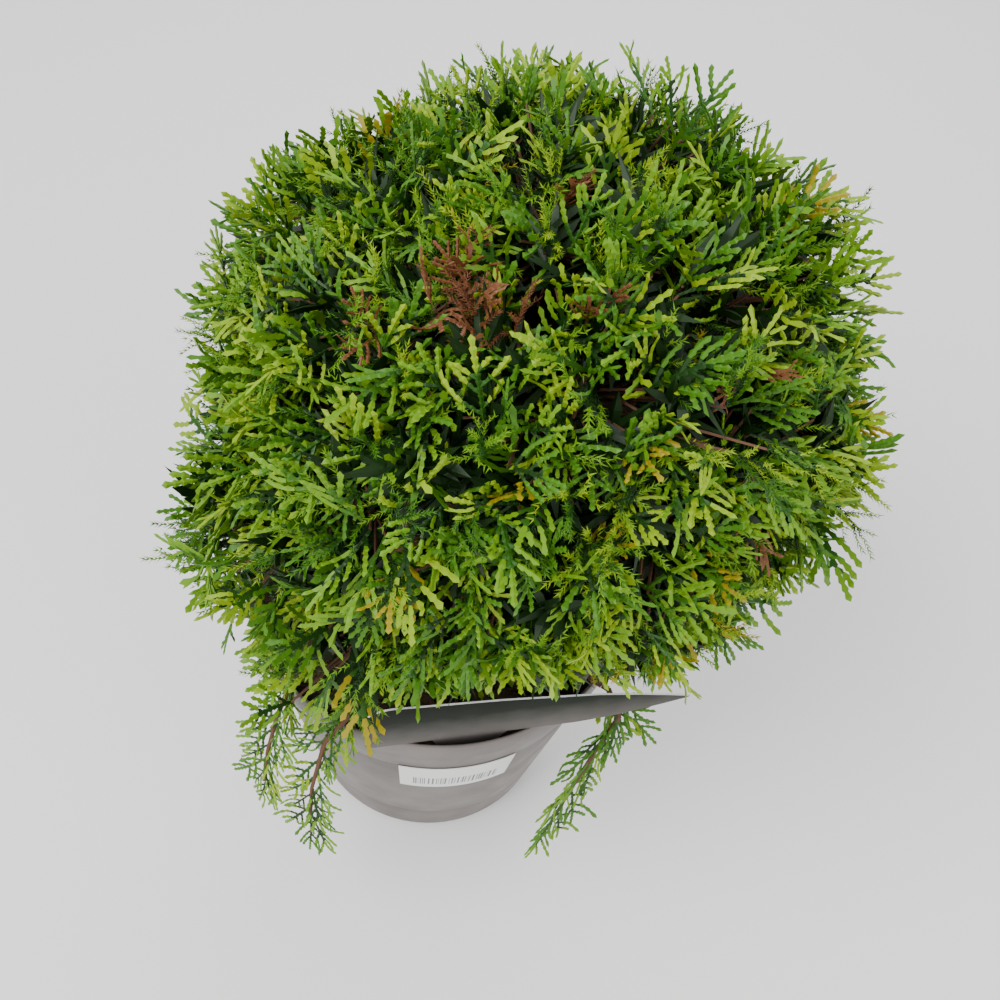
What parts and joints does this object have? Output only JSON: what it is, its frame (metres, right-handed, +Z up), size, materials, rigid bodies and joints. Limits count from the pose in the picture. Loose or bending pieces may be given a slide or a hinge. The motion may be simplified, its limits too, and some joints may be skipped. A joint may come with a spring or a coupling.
{
  "type": "potted globe arborvitae",
  "caption": "Young globe-shaped conifer with dense scaly sprays, in a round plastic nursery pot with a plant label.",
  "frame": {"origin": "middle of the pot's flat underside", "axes": "+Z up along the pot's axis, -Y towards the side with the label"},
  "size_m": [0.2839, 0.2997, 0.3902],
  "materials": {
    "foliage": "satin",
    "bark": "matte",
    "pot": "satin",
    "compost": "matte",
    "label": "gloss",
    "sticker": "matte"
  },
  "bodies": {
    "root": {"bough_left_front": "bark", "bough_left_side": "bark", "bough_lower_1": "bark", "bough_lower_2": "bark", "bough_lower_3": "bark", "bough_lower_4": "bark", "bough_lower_5": "bark", "bough_lower_6": "bark", "bough_lower_7": "bark", "bough_lower_8": "bark", "bough_middle_1": "bark", "bough_middle_2": "bark", "bough_middle_3": "bark", "bough_middle_4": "bark", "bough_middle_5": "bark", "bough_middle_6": "bark", "bough_middle_7": "bark", "bough_middle_8": "bark", "bough_right_low": "bark", "bough_upper_1": "bark", "bough_upper_2": "bark", "bough_upper_3": "bark", "bough_upper_4": "bark", "bough_upper_5": "bark", "compost": "compost", "foliage_left_front": "foliage", "foliage_left_side": "foliage", "foliage_lower_1": "foliage", "foliage_lower_2": "foliage", "foliage_lower_3": "foliage", "foliage_lower_4": "foliage", "foliage_lower_5": "foliage", "foliage_lower_6": "foliage", "foliage_lower_7": "foliage", "foliage_lower_8": "foliage", "foliage_middle_1": "foliage", "foliage_middle_2": "foliage", "foliage_middle_3": "foliage", "foliage_middle_4": "foliage", "foliage_middle_5": "foliage", "foliage_middle_6": "foliage", "foliage_middle_7": "foliage", "foliage_middle_8": "foliage", "foliage_right_low": "foliage", "foliage_top": "foliage", "foliage_upper_1": "foliage", "foliage_upper_2": "foliage", "foliage_upper_3": "foliage", "foliage_upper_4": "foliage", "foliage_upper_5": "foliage", "plant_label": "label", "pot": "pot", "price_sticker": "sticker", "trunk": "bark"}
  },
  "joints": []
}
